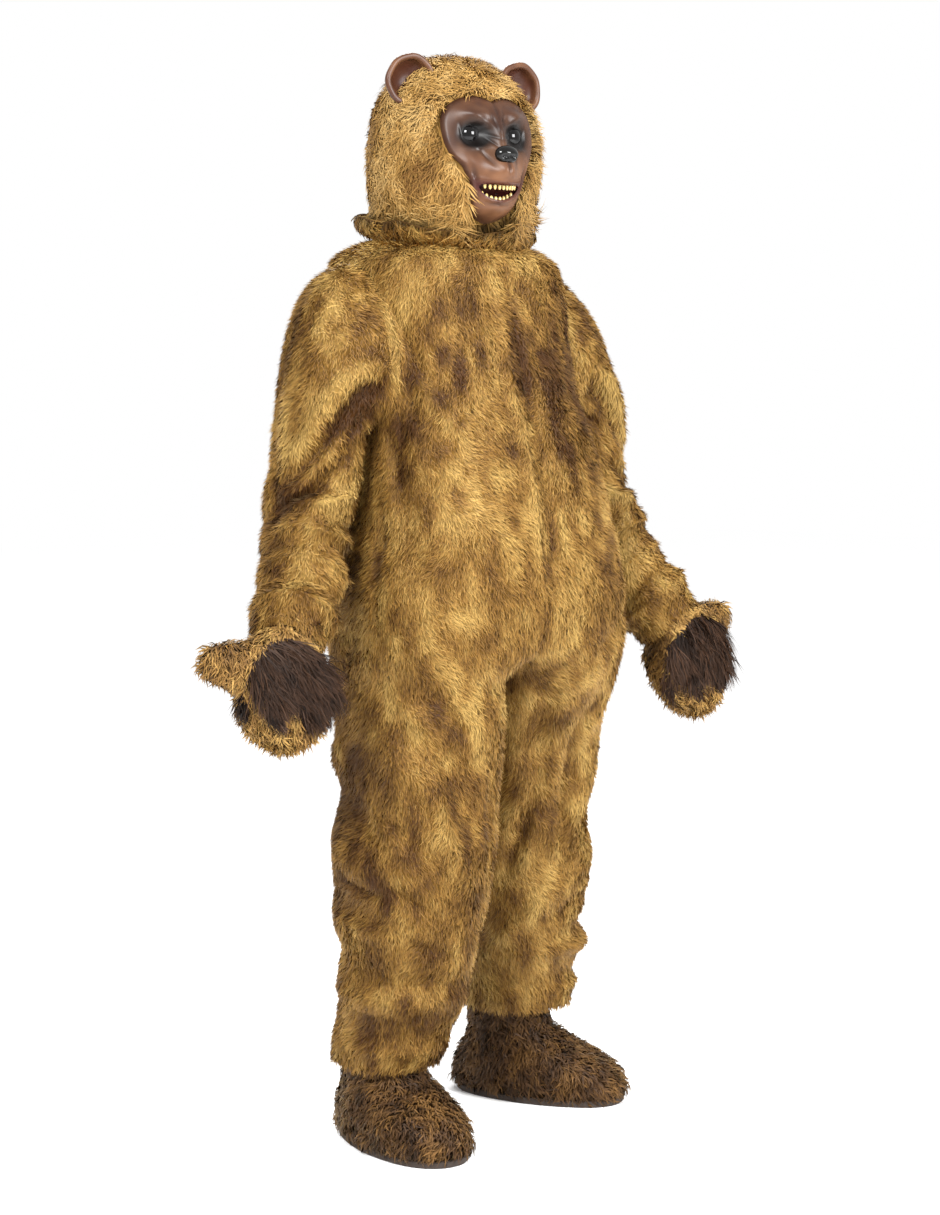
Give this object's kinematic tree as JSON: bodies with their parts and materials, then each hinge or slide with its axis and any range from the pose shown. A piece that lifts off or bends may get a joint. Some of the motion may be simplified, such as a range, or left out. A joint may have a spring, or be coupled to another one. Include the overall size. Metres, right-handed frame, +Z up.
{
  "type": "mascot costume",
  "caption": "Bear mascot costume in its worn shape: fur jumpsuit with collar, fur head with moulded face and ears, padded mitts and foot covers.",
  "frame": {"origin": "on the wearer's shoulder line, midway between the shoulders, where the costume hangs on the wearer", "axes": "+Z up, -Y the way the costume faces, +X to the wearer's left"},
  "size_m": [1.1446, 0.4479, 1.857],
  "materials": {
    "suit_fur": "short golden-brown pile, matt with a soft sheen",
    "head_fur": "curly light golden-brown pile, matt",
    "pad_fur": "long dark brown pile, matt",
    "latex": "painted latex, half gloss",
    "gloss_black": "high gloss",
    "tooth": "ivory, half gloss",
    "mouth_red": "dark red-brown latex",
    "sole_rubber": "matt"
  },
  "bodies": {
    "root": {"back_left": "suit_fur", "back_right": "suit_fur", "boot_left": "suit_fur", "boot_right": "suit_fur", "collar": "suit_fur", "ear_left": "latex", "ear_right": "latex", "eye_left": "gloss_black", "eye_right": "gloss_black", "face": "latex", "finger_pad_left_1": "pad_fur", "finger_pad_left_2": "pad_fur", "finger_pad_left_3": "pad_fur", "finger_pad_left_4": "pad_fur", "finger_pad_right_1": "pad_fur", "finger_pad_right_2": "pad_fur", "finger_pad_right_3": "pad_fur", "finger_pad_right_4": "pad_fur", "front_left": "suit_fur", "front_right": "suit_fur", "head_hood": "head_fur", "mitt_left": "suit_fur", "mitt_right": "suit_fur", "mouth_lining": "mouth_red", "nose": "gloss_black", "palm_pad_left": "pad_fur", "palm_pad_right": "pad_fur", "sleeve_left": "suit_fur", "sleeve_right": "suit_fur", "sole_left": "sole_rubber", "sole_right": "sole_rubber", "teeth_lower": "tooth", "teeth_upper": "tooth"}
  },
  "joints": []
}
